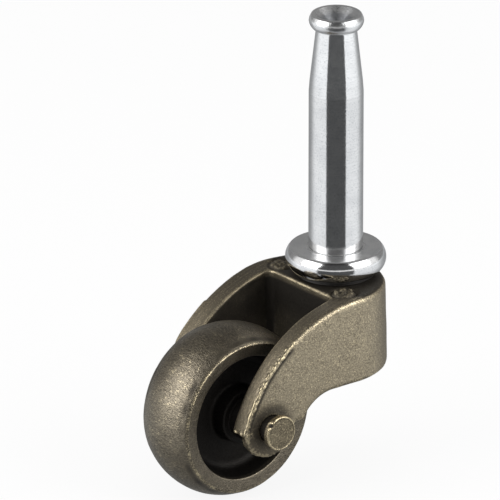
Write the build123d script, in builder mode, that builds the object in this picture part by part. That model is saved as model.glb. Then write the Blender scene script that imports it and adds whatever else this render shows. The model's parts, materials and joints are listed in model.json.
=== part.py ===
"""Swivel castor for a furniture leg: a one-inch cast wheel in a cast fork, turning on a grip-neck stem.

The stem axis is Z, and the collar's upper face, which the leg stands on, is the plane Z = 0.
The wheel trails towards -X and turns on an axle parallel to Y, with the rivet's head at -Y.
"""

import os
from math import acos, asin, cos, degrees, radians, sin, sqrt, tan

from build123d import *

# Stem above its collar
stem_diameter = 7.94
stem_length = 36.5
straight_length = 24.9
shoulder_length = 1.6
shoulder_drop = 0.12
neck_top_diameter = 5.94
bead_diameter = 7.9
bead_height = 2.08
crater_floor_diameter = 1.6
crater_depth = 2.3

# Collar
collar_diameter = 14.68
collar_face_diameter = 13.4
collar_thickness = 3.1
face_groove_width = 0.3
face_groove_depth = 0.12

# Lower end of the stem, which the fork swivels on and which is peened over below it
pivot_diameter = 6.4
pivot_clearance = 0.06
tail_diameter = 7.8
tail_height = 1.5
tail_crown = 0.5

# Washers of the swivel
thrust_washer_diameter = 11.6
thrust_washer_thickness = 0.8
tail_washer_diameter = 8.8
tail_washer_thickness = 0.8
washer_clearance = 0.1
washer_play = 0.05

# Wheel
wheel_diameter = 25.6
ridge_diameter = 22.5
ridge_width = 10.1
recess_diameter = 18.7
recess_mouth_width = 9.7
recess_floor_diameter = 17.0
recess_corner_radius = 1.2
web_thickness = 3.4
hub_diameter = 8.2
hub_length = 8.9
hub_nose_diameter = 6.2
hub_side_clearance = 0.25
hub_edge_radius = 0.3
ridge_edge_radius = 0.35
recess_edge_radius = 0.2
hub_root_radius = 0.5

# Axle: a rivet with a flat head at one end, peened over at the other
axle_diameter = 3.8
axle_clearance = 0.08
axle_head_diameter = 5.15
axle_head_height = 0.95
axle_head_rim_width = 0.3
axle_head_dish = 0.08
axle_end_play = 1.5
axle_tail_diameter = 5.4
axle_tail_height = 1.2
axle_tail_rim_height = 0.6
axle_tail_flat_diameter = 2.7
axle_tail_radius = 1.9

# Fork
trail = 20.6
axle_drop = 19.95
fork_width = 20.9
fork_back = 6.2
draft_angle = 1.5
arm_convergence = 2.3
well_width = 14.3
well_back = 6.75
well_back_draft = 3.0
well_corner_radius = 1.2
block_height = 12.9
brow_start = 3.7
brow_radius = 22.6
throat_start = 8.8
throat_radius = 6.5
heel_radius = 0.9
ledge_below_axle = 0.25
eye_radius = 4.4
eye_plate_thickness = 1.4
deck_edge_radius = 0.8
block_edge_radius = 0.7
arm_edge_radius = 0.3
eye_edge_radius = 0.5
ceiling_height = 6.0
tail_pocket_diameter = 9.6

# Fine lip along the lower front edge of each arm
lip_radius = 0.3
lip_inset = 0.28
lip_start_angle = 33.0

# Marks of the broken gates on the fork's deck
gate_mark_diameter = 4.1
gate_mark_depth = 0.35
gate_stub_diameter = 3.1
gate_mark_setback = 4.4
gate_mark_spacing = 14.2

deck_drop = collar_thickness + thrust_washer_thickness + 2 * washer_play
ceiling_drop = deck_drop + block_height - ceiling_height
block_drop = deck_drop + block_height
ledge_drop = axle_drop + ledge_below_axle
reach = trail + 2 * eye_radius
fork_depth = axle_drop + 2 * eye_radius - deck_drop
arm_start = fork_width / 2 - fork_back
os.makedirs("parts", exist_ok=True)


def arm_face(drop, setback):
    """Distance of an arm's outer face from the middle, at a drop and a setback from the collar's face."""
    narrowing = (setback - arm_start) * tan(radians(arm_convergence))
    return fork_width / 2 + (drop - deck_drop) * tan(radians(draft_angle)) - narrowing


# Stem, turned in one piece
bead_radius = bead_height / 2
bead_centre = (bead_diameter / 2 - bead_radius, stem_length - bead_radius)
bead_side = bead_radius * sin(radians(45))
tail_top_drop = ceiling_drop + tail_washer_thickness + 2 * washer_play

with BuildPart() as stem:
    with BuildSketch(Plane.XZ):
        with BuildLine():
            Polyline(
                (0, stem_length - crater_depth),
                (crater_floor_diameter / 2, stem_length - crater_depth),
                (bead_centre[0] - bead_side, bead_centre[1] + bead_side),
            )
            ThreePointArc(
                (bead_centre[0] - bead_side, bead_centre[1] + bead_side),
                (bead_centre[0] + bead_side, bead_centre[1] + bead_side),
                (bead_centre[0] + bead_side, bead_centre[1] - bead_side),
            )
            Polyline(
                (bead_centre[0] + bead_side, bead_centre[1] - bead_side),
                (neck_top_diameter / 2, stem_length - bead_height),
                (stem_diameter / 2 - shoulder_drop, straight_length + shoulder_length / 2),
                (stem_diameter / 2, straight_length - shoulder_length / 2),
                (stem_diameter / 2, -face_groove_depth),
                (stem_diameter / 2 + face_groove_width, -face_groove_depth),
                (stem_diameter / 2 + face_groove_width, 0),
                (collar_face_diameter / 2, 0),
            )
            ThreePointArc(
                (collar_face_diameter / 2, 0),
                (collar_diameter / 2, -collar_thickness / 2),
                (collar_face_diameter / 2, -collar_thickness),
            )
            Polyline(
                (collar_face_diameter / 2, -collar_thickness),
                (pivot_diameter / 2, -collar_thickness),
                (pivot_diameter / 2, -tail_top_drop),
                (tail_diameter / 2, -tail_top_drop),
                (tail_diameter / 2, -tail_top_drop - tail_height + tail_crown),
            )
            RadiusArc(
                (tail_diameter / 2, -tail_top_drop - tail_height + tail_crown),
                (tail_diameter / 2 - tail_crown, -tail_top_drop - tail_height),
                -tail_crown,
            )
            Polyline(
                (tail_diameter / 2 - tail_crown, -tail_top_drop - tail_height),
                (0, -tail_top_drop - tail_height),
                (0, stem_length - crater_depth),
            )
        make_face()
    revolve(axis=Axis.Z)
stem.part.label = "stem"
export_step(stem.part, "parts/stem.step")

# Washers that the fork turns between
with BuildPart() as thrust_washer:
    with BuildSketch(Plane.XY.offset(-deck_drop + washer_play)):
        Circle(thrust_washer_diameter / 2)
        Circle(pivot_diameter / 2 + washer_clearance, mode=Mode.SUBTRACT)
    extrude(amount=thrust_washer_thickness)
thrust_washer.part.label = "thrust_washer"
export_step(thrust_washer.part, "parts/thrust_washer.step")

with BuildPart() as tail_washer:
    with BuildSketch(Plane.XY.offset(-ceiling_drop - washer_play - tail_washer_thickness)):
        Circle(tail_washer_diameter / 2)
        Circle(pivot_diameter / 2 + washer_clearance, mode=Mode.SUBTRACT)
    extrude(amount=tail_washer_thickness)
tail_washer.part.label = "tail_washer"
export_step(tail_washer.part, "parts/tail_washer.step")

# Fork, cast in one piece
brow_centre = (-brow_start, -deck_drop - brow_radius)
brow_tip = brow_centre[0] - sqrt(brow_radius**2 - (ledge_drop + brow_centre[1]) ** 2)
brow_angle = degrees(acos((brow_radius + deck_drop - ledge_drop) / brow_radius))
brow_middle = (
    brow_centre[0] - brow_radius * sin(radians(brow_angle / 2)),
    brow_centre[1] + brow_radius * cos(radians(brow_angle / 2)),
)
throat_fall = ledge_drop - block_drop
throat_angle = degrees(acos(1 - throat_fall / throat_radius))
heel = -throat_start - throat_radius * sin(radians(throat_angle))
throat_middle = (
    -throat_start - throat_radius * sin(radians(throat_angle / 2)),
    -block_drop - throat_radius * (1 - cos(radians(throat_angle / 2))),
)
lip_plane = Plane(
    origin=(brow_centre[0], 0, brow_centre[1]),
    x_dir=(0, 1, 0),
    z_dir=(cos(radians(lip_start_angle)), 0, sin(radians(lip_start_angle))),
)
ledge_angle = degrees(asin(ledge_below_axle / eye_radius))
eye_plane = Plane(
    origin=(-trail, 0, -axle_drop),
    x_dir=(0, 1, 0),
    z_dir=(-sin(radians(ledge_angle)), 0, cos(radians(ledge_angle))),
)

with BuildPart() as fork:
    # Plan of the casting, widening downwards with its draft
    with BuildSketch(Plane.XY.offset(-deck_drop)):
        with BuildLine():
            shoulder = (
                -arm_start - fork_width / 2 * sin(radians(arm_convergence)),
                fork_width / 2 * cos(radians(arm_convergence)),
            )
            arm_end = (-reach, arm_face(deck_drop, reach))
            Polyline(shoulder, arm_end, (arm_end[0], -arm_end[1]), (shoulder[0], -shoulder[1]))
            ThreePointArc((shoulder[0], -shoulder[1]), (fork_back, 0), shoulder)
        make_face()
    extrude(amount=fork_depth, dir=(0, 0, -1), taper=-draft_angle)

    # Side outline of the block and its arms
    with BuildSketch(Plane.XZ):
        with BuildLine():
            Line((fork_back + fork_width, -deck_drop), (-brow_start, -deck_drop))
            ThreePointArc((-brow_start, -deck_drop), brow_middle, (brow_tip, -ledge_drop))
            Line((brow_tip, -ledge_drop), (heel, -ledge_drop))
            ThreePointArc((heel, -ledge_drop), throat_middle, (-throat_start, -block_drop))
            Polyline(
                (-throat_start, -block_drop),
                (fork_back + fork_width, -block_drop),
                (fork_back + fork_width, -deck_drop),
            )
        outline = make_face()
        fillet(outline.vertices().sort_by_distance((heel, -ledge_drop, 0))[0], heel_radius)
        with Locations((-trail, -axle_drop)):
            Circle(eye_radius)
    extrude(amount=fork_width, both=True, mode=Mode.INTERSECT)

    # Rounded outer edges of the casting
    fillet(fork.edges().group_by(Axis.Z)[-1].sort_by(SortBy.LENGTH)[-1], deck_edge_radius)
    foot = fork.faces().sort_by_distance((0, 0, -block_drop))[0]
    fillet(foot.edges().sort_by(SortBy.LENGTH)[-1], block_edge_radius)

    # Wheel well between the arms, its rear wall leaning back
    well_lean = (deck_drop + fork_depth) * tan(radians(well_back_draft))
    for drop, back in ((0, well_back), (deck_drop + fork_depth, well_back - well_lean)):
        with BuildSketch(Plane.XY.offset(-drop)):
            with Locations((-(reach + back) / 2, 0)):
                RectangleRounded(reach - back, well_width, well_corner_radius)
    loft(mode=Mode.SUBTRACT)
    well_rim = fork.edges(Select.LAST).sort_by_distance((-well_back, 0, -deck_drop))
    fillet(well_rim[0], arm_edge_radius)

    # Round ends of the arms, thinned from inside below the axle
    with BuildSketch(Plane.XY.offset(-ledge_drop)):
        Rectangle(2 * reach, 2 * (arm_face(ledge_drop, trail) - eye_plate_thickness))
    extrude(amount=fork_depth, dir=(0, 0, -1), mode=Mode.SUBTRACT)

    # Rounded outer edge of each round end, below the ledge
    eye_arc_inset = eye_edge_radius * (1 - cos(radians(45)))
    eye_axis = Axis((-trail, 0, -axle_drop), (0, -1, 0))
    for side in (-1, 1):
        eye_face = side * arm_face(axle_drop + eye_radius, trail)
        rounding = side * eye_edge_radius
        with BuildSketch(eye_plane):
            with BuildLine():
                ThreePointArc(
                    (eye_face - rounding, eye_radius),
                    (eye_face - side * eye_arc_inset, eye_radius - eye_arc_inset),
                    (eye_face, eye_radius - eye_edge_radius),
                )
                Polyline(
                    (eye_face, eye_radius - eye_edge_radius),
                    (eye_face + rounding, eye_radius - eye_edge_radius),
                    (eye_face + rounding, eye_radius + eye_edge_radius),
                    (eye_face - rounding, eye_radius + eye_edge_radius),
                    (eye_face - rounding, eye_radius),
                )
            make_face()
        revolve(axis=eye_axis, revolution_arc=180 - 2 * ledge_angle, mode=Mode.SUBTRACT)

    # Fine lip left by the mould along the lower outer edge of each arm
    brow_axis = Axis((brow_centre[0], 0, brow_centre[1]), (0, -1, 0))
    for side in (-1, 1):
        lip_face = side * (arm_face(axle_drop, trail + eye_radius) - lip_inset)
        with BuildSketch(lip_plane):
            with Locations((lip_face, brow_radius - lip_inset)):
                Circle(lip_radius)
        revolve(axis=brow_axis, revolution_arc=brow_angle - lip_start_angle)

    # Bores for the stem's pivot and tail, and for the axle
    with Locations((0, 0, -ceiling_drop)):
        Cylinder(pivot_diameter / 2 + pivot_clearance, 3 * block_height, mode=Mode.SUBTRACT)
    with BuildSketch(Plane.XY.offset(-ceiling_drop)):
        Circle(tail_pocket_diameter / 2)
    extrude(amount=fork_depth, dir=(0, 0, -1), mode=Mode.SUBTRACT)
    with BuildSketch(Plane.XZ):
        with Locations((-trail, -axle_drop)):
            Circle(axle_diameter / 2 + axle_clearance)
    extrude(amount=fork_width, both=True, mode=Mode.SUBTRACT)

    # Gate marks beside the collar: a shallow ring round a broken stub
    for side in (-1, 1):
        with BuildSketch(Plane.XY.offset(-deck_drop)):
            with Locations((-gate_mark_setback, side * gate_mark_spacing / 2)):
                Circle(gate_mark_diameter / 2)
                Circle(gate_stub_diameter / 2, mode=Mode.SUBTRACT)
        extrude(amount=gate_mark_depth, dir=(0, 0, -1), mode=Mode.SUBTRACT)

fork.part.label = "fork"
export_step(fork.part, "parts/fork.step")

# Axle rivet along Y
with BuildPart() as axle:
    head_face = arm_face(axle_drop, trail) + axle_end_play + axle_head_height
    tail_seat = arm_face(axle_drop + axle_tail_diameter / 2, trail - axle_tail_diameter / 2) + washer_play
    with BuildSketch(Plane.YZ.offset(-trail)):
        with BuildLine():
            Polyline(
                (-head_face + axle_head_dish, -axle_drop),
                (-head_face + axle_head_dish, -axle_drop + axle_head_diameter / 2 - axle_head_rim_width),
                (-head_face, -axle_drop + axle_head_diameter / 2 - axle_head_rim_width / 2),
                (-head_face + axle_head_dish, -axle_drop + axle_head_diameter / 2),
                (-head_face + axle_head_height, -axle_drop + axle_head_diameter / 2),
                (-head_face + axle_head_height, -axle_drop + axle_diameter / 2),
                (tail_seat, -axle_drop + axle_diameter / 2),
                (tail_seat, -axle_drop + axle_tail_diameter / 2),
                (tail_seat + axle_tail_rim_height, -axle_drop + axle_tail_diameter / 2),
            )
            RadiusArc(
                (tail_seat + axle_tail_rim_height, -axle_drop + axle_tail_diameter / 2),
                (tail_seat + axle_tail_height, -axle_drop + axle_tail_flat_diameter / 2),
                axle_tail_radius,
            )
            Polyline(
                (tail_seat + axle_tail_height, -axle_drop + axle_tail_flat_diameter / 2),
                (tail_seat + axle_tail_height, -axle_drop),
                (-head_face + axle_head_dish, -axle_drop),
            )
        make_face()
    revolve(axis=Axis((-trail, 0, -axle_drop), (0, 1, 0)))
axle.part.label = "axle"
export_step(axle.part, "parts/axle.step")

# Wheel, cast in one piece
wheel_centre = (-trail, 0, -axle_drop)
with BuildPart() as wheel:
    with BuildSketch(Plane(origin=wheel_centre, x_dir=(0, 1, 0), z_dir=(1, 0, 0))):
        with BuildLine():
            ThreePointArc(
                (-ridge_width / 2, ridge_diameter / 2),
                (0, wheel_diameter / 2),
                (ridge_width / 2, ridge_diameter / 2),
            )
            half = Polyline(
                (ridge_width / 2, ridge_diameter / 2),
                (recess_mouth_width / 2, recess_diameter / 2),
                (web_thickness / 2, recess_floor_diameter / 2),
                (web_thickness / 2, hub_diameter / 2),
                (hub_length / 2, hub_diameter / 2),
                (hub_length / 2, hub_nose_diameter / 2),
                (well_width / 2 - hub_side_clearance, hub_nose_diameter / 2),
                (well_width / 2 - hub_side_clearance, axle_diameter / 2 + axle_clearance),
                (0, axle_diameter / 2 + axle_clearance),
            )
            mirror(half, about=Plane.YZ)
        section = make_face()
        for axial, radial, radius in (
            (ridge_width / 2, ridge_diameter / 2, ridge_edge_radius),
            (recess_mouth_width / 2, recess_diameter / 2, recess_edge_radius),
            (web_thickness / 2, recess_floor_diameter / 2, recess_corner_radius),
            (web_thickness / 2, hub_diameter / 2, hub_root_radius),
            (hub_length / 2, hub_diameter / 2, hub_edge_radius),
            (well_width / 2 - hub_side_clearance, hub_nose_diameter / 2, hub_edge_radius),
        ):
            for side in (-1, 1):
                fillet(section.vertices().sort_by_distance((side * axial, radial, 0))[0], radius)
    revolve(axis=Axis(wheel_centre, (0, 1, 0)))
wheel.part.label = "wheel"
export_step(wheel.part, "parts/wheel.step")
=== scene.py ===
"""Socket castor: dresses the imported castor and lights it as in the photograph.

The frame is the CAD model's: the stem's axis is Z, the collar's upper face is the plane Z = 0, the wheel
trails towards -X and turns on an axle parallel to Y. All sizes below are in millimetres unless a name says
otherwise, and Blender's own lengths are in metres.
"""

import json
import logging
import math
from dataclasses import dataclass, field
from enum import Enum
from functools import reduce

import bpy
import numpy as np
from mathutils import Matrix, Vector

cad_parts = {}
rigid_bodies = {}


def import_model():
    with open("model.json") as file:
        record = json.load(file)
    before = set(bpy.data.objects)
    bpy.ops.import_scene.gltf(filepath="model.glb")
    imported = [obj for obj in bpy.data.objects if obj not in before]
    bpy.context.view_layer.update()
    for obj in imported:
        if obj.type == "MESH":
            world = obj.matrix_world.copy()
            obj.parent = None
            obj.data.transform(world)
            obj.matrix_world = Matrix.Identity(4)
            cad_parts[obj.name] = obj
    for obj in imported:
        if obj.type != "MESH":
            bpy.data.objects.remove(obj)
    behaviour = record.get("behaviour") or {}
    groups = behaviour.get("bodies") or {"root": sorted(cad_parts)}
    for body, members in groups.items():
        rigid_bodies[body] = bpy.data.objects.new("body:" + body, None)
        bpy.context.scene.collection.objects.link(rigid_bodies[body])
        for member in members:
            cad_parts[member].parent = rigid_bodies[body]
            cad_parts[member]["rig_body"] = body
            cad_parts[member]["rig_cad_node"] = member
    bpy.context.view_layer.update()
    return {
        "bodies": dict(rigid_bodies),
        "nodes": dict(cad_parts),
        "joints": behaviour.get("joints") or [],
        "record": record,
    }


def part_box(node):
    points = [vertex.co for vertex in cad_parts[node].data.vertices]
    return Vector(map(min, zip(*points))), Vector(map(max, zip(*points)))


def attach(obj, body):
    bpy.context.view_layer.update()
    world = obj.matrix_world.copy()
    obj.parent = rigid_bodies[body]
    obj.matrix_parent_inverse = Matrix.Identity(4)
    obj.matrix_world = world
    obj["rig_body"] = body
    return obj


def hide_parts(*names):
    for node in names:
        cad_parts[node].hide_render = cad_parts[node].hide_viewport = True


log = logging.getLogger("castor")

# Short names for types
Piece = bpy.types.Object
Material = bpy.types.Material
Tree = bpy.types.NodeTree
Socket = bpy.types.NodeSocket
Colour = tuple[float, float, float, float]
Profile = list[tuple[float, float]]
Relief = tuple[float, float]

MM = 0.001

# Places shared by several pieces
TRAIL = 20.6
AXLE_DROP = 19.95
DECK_DROP = 4.0
BROW_CENTRE = (-3.7, -26.6)
BROW_RADIUS = 22.6
LEDGE_DROP = 20.2
WELL_HALF_WIDTH = 7.15
WELL_BACK = 6.75
FLOOR_DROP = 32.78

# Steps between a vertex that takes no part in a change and one that takes part in full
WEIGHT_STEPS = 50

# Vertex attributes that the finishes read
EDGE = "edge"
HOLLOW = "hollow"
# Dark patina in the well and recesses, mixed with painted shade where shade falls on the pieces
PATINA_AND_SHADE = "patina_and_shade"

# Directions of the photograph's camera
CAMERA_AZIMUTH = math.radians(-39.5)
CAMERA_ELEVATION = math.radians(21.8)
CAMERA_RIGHT = Vector((math.cos(CAMERA_AZIMUTH), math.sin(CAMERA_AZIMUTH), 0))
CAMERA_BACK = Vector(
    (
        math.sin(CAMERA_AZIMUTH) * math.cos(CAMERA_ELEVATION),
        -math.cos(CAMERA_AZIMUTH) * math.cos(CAMERA_ELEVATION),
        math.sin(CAMERA_ELEVATION),
    )
)
CAMERA_UP = CAMERA_BACK.cross(CAMERA_RIGHT)
UP = Vector((0, 0, 1))


class Body(Enum):
    """The moving bodies that a piece can ride on."""

    STEM = "stem"
    FORK = "fork"
    WHEEL = "wheel"


class Slot(Enum):
    """The record's material slots named for the new pieces; nothing here assigns them."""

    STEM = "plated_steel"
    FORK = "antique_brass_fork"
    AXLE = "antique_brass_axle"
    WHEEL = "antique_brass_wheel"


class Bench:
    """Adds and links the nodes of one node tree."""

    def __init__(self, tree: Tree) -> None:
        """Takes the node tree of a material, a world or a group."""
        self.tree = tree

    def add(self, kind: str, inputs: dict | None = None, **settings) -> bpy.types.Node:
        """Adds a node.

        Args:
            kind: the node's type name.
            inputs: values or output sockets by input name or index.
            settings: the node's own properties.

        Returns:
            The new node.
        """
        node = self.tree.nodes.new(kind)
        for name, value in settings.items():
            setattr(node, name, value)
        for name, value in (inputs or {}).items():
            self.feed(node.inputs[name], value)
        return node

    def feed(self, socket: Socket, value) -> None:
        """Links an output socket into an input, or sets the input's own value.

        Args:
            socket: the input socket.
            value: an output socket, a number or a tuple.
        """
        if isinstance(value, Socket):
            self.tree.links.new(value, socket)
        else:
            socket.default_value = value

    def math(self, operation: str, first, second=0.0, clamp: bool = False) -> Socket:
        """Works on two numbers or sockets, and may hold the result between 0 and 1."""
        return self.add("ShaderNodeMath", {0: first, 1: second}, operation=operation, use_clamp=clamp).outputs[0]

    def times(self, *values) -> Socket:
        """Multiplies numbers and sockets, in their order."""
        return reduce(lambda first, second: self.math("MULTIPLY", first, second), values)

    def plus(self, *values) -> Socket:
        """Adds numbers and sockets up, in their order."""
        return reduce(lambda first, second: self.math("ADD", first, second), values)

    def less(self, first, second) -> Socket:
        """Takes the second number or socket from the first."""
        return self.math("SUBTRACT", first, second)

    def mix(self, factor, first, second) -> Socket:
        """Mixes two colours: a factor of 0 gives the first and 1 the second."""
        return self.add("ShaderNodeMix", {0: factor, 6: first, 7: second}, data_type="RGBA").outputs[2]

    def span(self, value, low: float, high: float, to_low: float = 0.0, to_high: float = 1.0):
        """Maps the range from low to high smoothly onto the one from to_low to to_high, and holds it there."""
        given = {"Value": value, "From Min": low, "From Max": high, "To Min": to_low, "To Max": to_high}
        return self.add("ShaderNodeMapRange", given, interpolation_type="SMOOTHSTEP").outputs[0]

    def noise(self, vector, scale: float, detail: float = 2.0, roughness: float = 0.5) -> Socket:
        """Gives a noise from 0 to 1 with so many features in a millimetre, and detail as its octaves."""
        given = {"Vector": vector, "Scale": scale, "Detail": detail, "Roughness": roughness}
        return self.add("ShaderNodeTexNoise", given).outputs["Fac"]

    def group(self, tree: Tree, **inputs) -> bpy.types.bpy_prop_collection:
        """Places a shader group with its inputs, and gives its outputs."""
        return self.add("ShaderNodeGroup", inputs, node_tree=tree).outputs

    def bump(self, height: Socket, depth: float) -> Socket:
        """Turns a height into normals, as a relief of this depth in millimetres."""
        return self.add("ShaderNodeBump", {"Height": height, "Strength": 1.0, "Distance": depth * MM}).outputs[0]

    def vector_math(self, operation: str, place, *others) -> Socket:
        """Measures a vector, or multiplies it by another."""
        inputs = dict(enumerate((place, *others)))
        node = self.add("ShaderNodeVectorMath", inputs, operation=operation)
        return node.outputs["Vector" if operation == "MULTIPLY" else "Value"]

    def millimetres(self, stretch: tuple[float, float, float] = (1, 1, 1)) -> Socket:
        """Gives the object's coordinates in millimetres, stretched along each axis."""
        place = self.add("ShaderNodeTexCoord").outputs["Object"]
        scale = tuple(1000 * s for s in stretch)
        return self.add("ShaderNodeMapping", {"Vector": place, "Scale": scale}).outputs[0]


def group_tree(name: str, inputs: dict[str, str], outputs: dict[str, str]) -> Tree:
    """Makes an empty shader group with its sockets.

    Args:
        name: the group's name.
        inputs: socket types by input name.
        outputs: socket types by output name.

    Returns:
        The group's tree.
    """
    tree = bpy.data.node_groups.new(name, "ShaderNodeTree")
    for in_out, sockets in (("INPUT", inputs), ("OUTPUT", outputs)):
        for socket, kind in sockets.items():
            tree.interface.new_socket(socket, in_out=in_out, socket_type=kind)
    return tree


def cast_grain_group() -> Tree:
    """Makes the sandy grain of a tumbled casting.

    Returns:
        A group that takes a place in millimetres and puts out Grain, Mottle, Specks and Height.
    """
    tree = group_tree(
        "Cast grain",
        {"Vector": "NodeSocketVector"},
        {name: "NodeSocketFloat" for name in ("Grain", "Mottle", "Specks", "Height")},
    )
    bench = Bench(tree)
    place = bench.add("NodeGroupInput").outputs["Vector"]
    fine = bench.noise(place, 4.2, 3.0, 0.65)
    coarse = bench.noise(place, 1.5, 3.0, 0.55)
    mottle = bench.noise(place, 0.32, 4.0, 0.6)
    specks = bench.noise(place, 4.6, 2.0, 0.6)
    outputs = {
        "Grain": bench.span(fine, 0.38, 0.62),
        "Mottle": bench.span(mottle, 0.36, 0.66),
        "Specks": bench.span(specks, 0.54, 0.68),
        "Height": bench.plus(bench.times(fine, 0.55), bench.times(coarse, 0.6)),
    }
    bench.add("NodeGroupOutput", outputs)
    return tree


def edge_wear_group() -> Tree:
    """Makes the rubbed edges of an antiqued plating.

    Returns:
        A group that takes the Edge attribute, Grain and Mottle values and the Reach of the rubbing, and puts out
        Rubbed.
    """
    tree = group_tree(
        "Edge wear",
        {name: "NodeSocketFloat" for name in ("Edge", "Grain", "Mottle", "Reach")},
        {"Rubbed": "NodeSocketFloat"},
    )
    bench = Bench(tree)
    taken = bench.add("NodeGroupInput").outputs
    broken = bench.times(bench.less(taken["Grain"], 0.5), 0.85)
    reach = bench.times(taken["Reach"], bench.span(taken["Mottle"], 0, 1, 0.55, 1.15))
    worn = bench.plus(bench.times(taken["Edge"], reach), broken)
    bench.add("NodeGroupOutput", {"Rubbed": bench.span(worn, 0.38, 1.1)})
    return tree


def turning_group() -> Tree:
    """Makes the fine rings that a lathe leaves round the Z axis.

    Returns:
        A group that takes a place in millimetres and puts out Rings and Height.
    """
    tree = group_tree(
        "Turning marks",
        {"Vector": "NodeSocketVector"},
        {"Rings": "NodeSocketFloat", "Height": "NodeSocketFloat"},
    )
    bench = Bench(tree)
    place = bench.add("NodeGroupInput").outputs["Vector"]
    radius = bench.vector_math("LENGTH", bench.vector_math("MULTIPLY", place, (1, 1, 0)))
    height = bench.add("ShaderNodeSeparateXYZ", {0: place}).outputs[2]
    section = bench.add("ShaderNodeCombineXYZ", {0: radius, 2: height}).outputs[0]
    marks = bench.noise(section, 5.0, 3.0, 0.7)
    dust = bench.noise(place, 3.4, 2.0, 0.7)
    outputs = {"Rings": bench.span(marks, 0.3, 0.7), "Height": bench.plus(marks, bench.times(dust, 0.8))}
    bench.add("NodeGroupOutput", outputs)
    return tree


@dataclass(frozen=True)
class Groups:
    """The shader groups that the finishes share."""

    grain: Tree
    wear: Tree
    turning: Tree

    @classmethod
    def build(cls) -> "Groups":
        """Builds each group once."""
        return cls(cast_grain_group(), edge_wear_group(), turning_group())


def new_material(name: str) -> tuple[Material, Bench, bpy.types.Node]:
    """Starts a material.

    Args:
        name: the material's name.

    Returns:
        The material, its bench and its Principled shader.
    """
    material = bpy.data.materials.new(name)
    material.use_nodes = True
    material.node_tree.nodes.clear()
    bench = Bench(material.node_tree)
    shader = bench.add("ShaderNodeBsdfPrincipled")
    bench.add("ShaderNodeOutputMaterial", {"Surface": shader.outputs[0]})
    return material, bench, shader


@dataclass(frozen=True)
class AntiqueBrass:
    """Antique brass plate on a sandy casting: brown-grey, dark with patina in its hollows and with painted shade where
    the casting is marked for it, rubbed pale on its edges.
    """

    name: str
    plate: Colour = (0.350, 0.300, 0.215, 1)
    patina_and_shade_tone: Colour = (0.030, 0.026, 0.021, 1)
    rubbed: Colour = (0.78, 0.66, 0.43, 1)
    mottling: float = 0.15
    speckle: float = 0.58
    hollow_dirt: float = 0.9
    edge_reach: float = 1.5
    roughness: float = 0.40
    patina_roughness: float = 0.16
    rubbed_gloss: float = 0.10
    grain_depth: float = 0.065
    stretch: tuple[float, float, float] = (1.0, 1.0, 1.0)

    def build(self, groups: Groups) -> Material:
        """Makes the material.

        Args:
            groups: the shared shader groups.

        Returns:
            The finished material.
        """
        material, bench, shader = new_material(self.name)
        grain = bench.group(groups.grain, Vector=bench.millimetres(self.stretch))
        edge, hollow, patina_and_shade = (
            bench.add("ShaderNodeAttribute", attribute_name=name).outputs["Fac"] for name in (EDGE, HOLLOW, PATINA_AND_SHADE)
        )
        wear = bench.group(groups.wear, Edge=edge, Grain=grain["Grain"], Mottle=grain["Mottle"], Reach=self.edge_reach)
        dull = bench.times(bench.less(1.0, grain["Mottle"]), self.mottling)
        sunk = bench.plus(dull, bench.times(hollow, self.hollow_dirt))
        fine = bench.times(bench.less(0.58, grain["Grain"]), 0.5)
        # Darkens towards the dark tone where patina lies and where shade is painted, and keeps the rubbing off there.
        dark = bench.math("MAXIMUM", bench.math("ADD", sunk, fine, clamp=True), patina_and_shade)
        bright = bench.math("MAXIMUM", wear["Rubbed"], bench.times(grain["Specks"], self.speckle))
        bright = bench.times(bright, bench.less(1.0, patina_and_shade))
        colour = bench.mix(bright, bench.mix(dark, self.plate, self.patina_and_shade_tone), self.rubbed)
        bench.feed(shader.inputs["Base Color"], colour)
        rough = bench.plus(self.roughness, bench.times(dark, self.patina_roughness))
        bench.feed(shader.inputs["Roughness"], bench.less(rough, bench.times(bright, self.rubbed_gloss)))
        bench.feed(shader.inputs["Metallic"], bench.span(dark, 0.4, 1.0, 1.0, 0.72))
        bench.feed(shader.inputs["Normal"], bench.bump(grain["Height"], self.grain_depth))
        return material


# The axle's brass is the fork's made darker: painted shade, as the head sits low where less light reaches.
AXLE_BRASS = AntiqueBrass("axle_brass", plate=(0.27, 0.228, 0.155, 1), mottling=0.45)
WHEEL_BRASS = AntiqueBrass(
    "wheel_brass",
    plate=(0.225, 0.196, 0.150, 1),
    patina_and_shade_tone=(0.014, 0.012, 0.010, 1),
    mottling=0.2,
    speckle=0.15,
    roughness=0.35,
    grain_depth=0.095,
    stretch=(1.7, 0.5, 1.7),
)


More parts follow.
